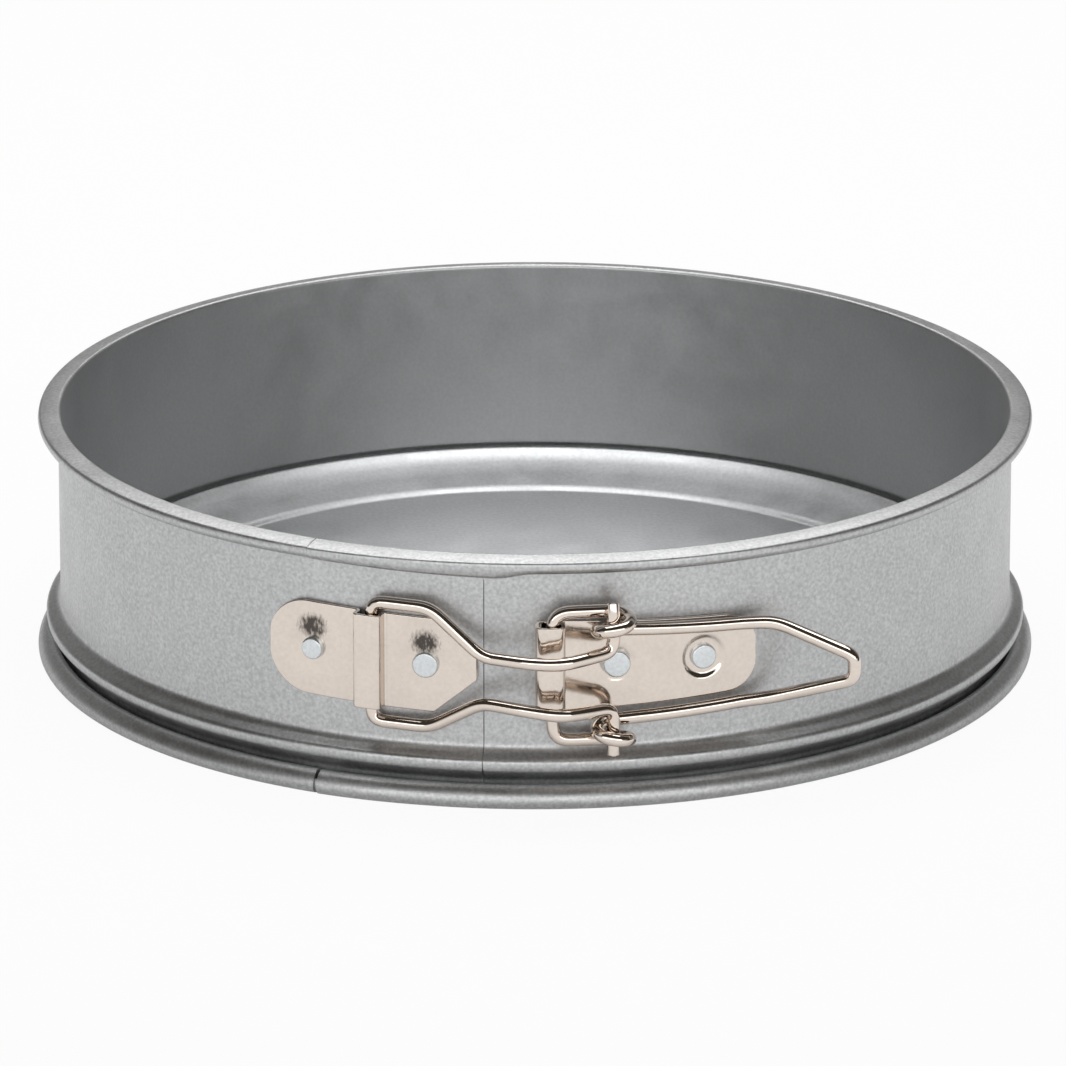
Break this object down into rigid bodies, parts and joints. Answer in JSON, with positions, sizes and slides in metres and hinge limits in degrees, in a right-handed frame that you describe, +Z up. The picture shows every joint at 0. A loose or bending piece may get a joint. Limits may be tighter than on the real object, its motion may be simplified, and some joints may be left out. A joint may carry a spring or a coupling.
{
  "type": "springform cake tin",
  "caption": "Round springform cake tin: sprung band with rolled edges, stepped loose base in the band's groove, and a wire toggle latch whose lever spreads the band.",
  "frame": {"origin": "On the ring's axis at the level of the rolled foot, where the tin stands.", "axes": "+Z up along the ring's axis, -Y out of the front through the latch, +X towards the lever's tip."},
  "size_m": [0.253, 0.2625, 0.0644],
  "materials": {
    "base_coating": "satin",
    "band_coating": "satin",
    "nickel_plate": "bright",
    "nickel_wire": "bright",
    "rivet_alloy": "satin"
  },
  "bodies": {
    "base": {"base": "base_coating"},
    "left_half": {"band_left": "band_coating", "link_bracket": "nickel_plate", "link_rivet_outer": "rivet_alloy", "link_rivet_inner": "rivet_alloy"},
    "right_half": {"band_right": "band_coating", "lever_bracket": "nickel_plate", "lever_rivet_inner": "rivet_alloy", "lever_rivet_outer": "rivet_alloy"},
    "link": {"draw_link": "nickel_wire"},
    "latch_lever": {"lever": "nickel_wire"}
  },
  "joints": [
    {"name": "left_spread", "type": "hinge", "parent": "base", "child": "left_half", "pos_m": [0, 0.1268, 0], "axis": [0, 0, -1], "range_deg": [0, 2.92]},
    {"name": "right_spread", "type": "hinge", "parent": "base", "child": "right_half", "pos_m": [0, 0.1268, 0], "axis": [0, 0, 1], "range_deg": [0, 2.92]},
    {"name": "link_swing", "type": "hinge", "parent": "left_half", "child": "link", "pos_m": [-0.03976, -0.11603, 0.0342], "axis": [0, 0, -1], "range_deg": [0, 5.07]},
    {"name": "lever_swing", "type": "hinge", "parent": "right_half", "child": "latch_lever", "pos_m": [0.00423, -0.12453, 0.0342], "axis": [0, 0, -1], "range_deg": [0, 140]}
  ],
  "couplings": [
    {"joint": "left_spread", "follows": "lever_swing", "ratio": 0.020828},
    {"joint": "right_spread", "follows": "lever_swing", "ratio": 0.020828},
    {"joint": "link_swing", "follows": "lever_swing", "ratio": 0.036204}
  ]
}
